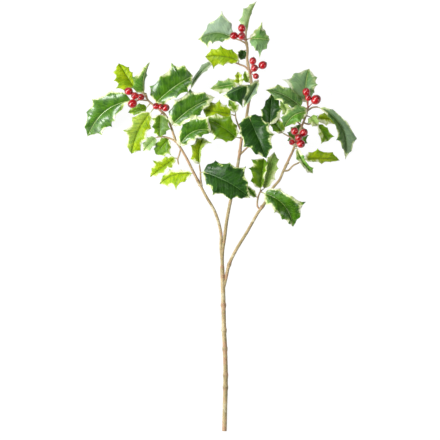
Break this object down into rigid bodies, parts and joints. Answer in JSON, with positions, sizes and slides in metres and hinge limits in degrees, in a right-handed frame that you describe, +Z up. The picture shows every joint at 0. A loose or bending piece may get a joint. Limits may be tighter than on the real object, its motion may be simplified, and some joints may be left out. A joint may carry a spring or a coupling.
{
  "type": "variegated holly sprig",
  "caption": "Cut holly sprig lying on a surface: forked woody stem, spiny cream-edged glossy leaves and bunches of red berries",
  "frame": {"origin": "On the surface the sprig lies on, below the middle of its outline", "axes": "+Y runs along the sprig from its cut end to its leafy end, +X across it, +Z up from the surface"},
  "size_m": [0.3528, 0.5542, 0.068],
  "materials": {
    "bark": "rough bark with knuckles",
    "leaf_dark": "waxy gloss, deep green with cream margin",
    "leaf_mid": "waxy gloss, mid green with cream margin",
    "leaf_lime": "waxy satin, young yellow-green with pale margin",
    "leaf_pale": "satin, pale grey-green underside",
    "berry": "glossy red skin"
  },
  "bodies": {
    "root": {"Stem": "bark", "Leaf_left_1": "leaf_dark", "Leaf_left_2": "leaf_lime", "Leaf_left_3": "leaf_mid", "Leaf_left_4": "leaf_dark", "Leaf_left_5": "leaf_dark", "Leaf_left_6": "leaf_dark", "Leaf_left_7": "leaf_lime", "Leaf_left_8": "leaf_mid", "Leaf_left_9": "leaf_lime", "Leaf_left_10": "leaf_lime", "Leaf_left_11": "leaf_pale", "Leaf_left_12": "leaf_mid", "Leaf_left_13": "leaf_lime", "Leaf_left_14": "leaf_lime", "Leaf_middle_1": "leaf_dark", "Leaf_middle_2": "leaf_mid", "Leaf_middle_3": "leaf_mid", "Leaf_middle_4": "leaf_lime", "Leaf_middle_5": "leaf_pale", "Leaf_middle_6": "leaf_pale", "Leaf_middle_7": "leaf_lime", "Leaf_middle_8": "leaf_mid", "Leaf_middle_9": "leaf_dark", "Leaf_middle_10": "leaf_mid", "Leaf_middle_11": "leaf_mid", "Leaf_middle_12": "leaf_dark", "Leaf_middle_13": "leaf_lime", "Leaf_middle_14": "leaf_mid", "Leaf_middle_15": "leaf_dark", "Leaf_middle_16": "leaf_dark", "Leaf_right_1": "leaf_lime", "Leaf_right_2": "leaf_pale", "Leaf_right_3": "leaf_mid", "Leaf_right_4": "leaf_dark", "Leaf_right_5": "leaf_dark", "Leaf_right_6": "leaf_mid", "Leaf_right_7": "leaf_dark", "Leaf_right_8": "leaf_dark", "Leaf_right_9": "leaf_mid", "Leaf_right_10": "leaf_dark", "Leaf_right_11": "leaf_lime", "Leaf_right_12": "leaf_mid", "Leaf_right_13": "leaf_pale", "Leaf_right_14": "leaf_dark", "Leaf_right_15": "leaf_lime", "Leaf_right_16": "leaf_mid", "Leaf_right_17": "leaf_pale", "Berries_left_1": "berry", "Berries_left_2": "berry", "Berries_middle_1": "berry", "Berries_middle_2": "berry", "Berries_right_1": "berry", "Berries_right_2": "berry"}
  },
  "joints": []
}
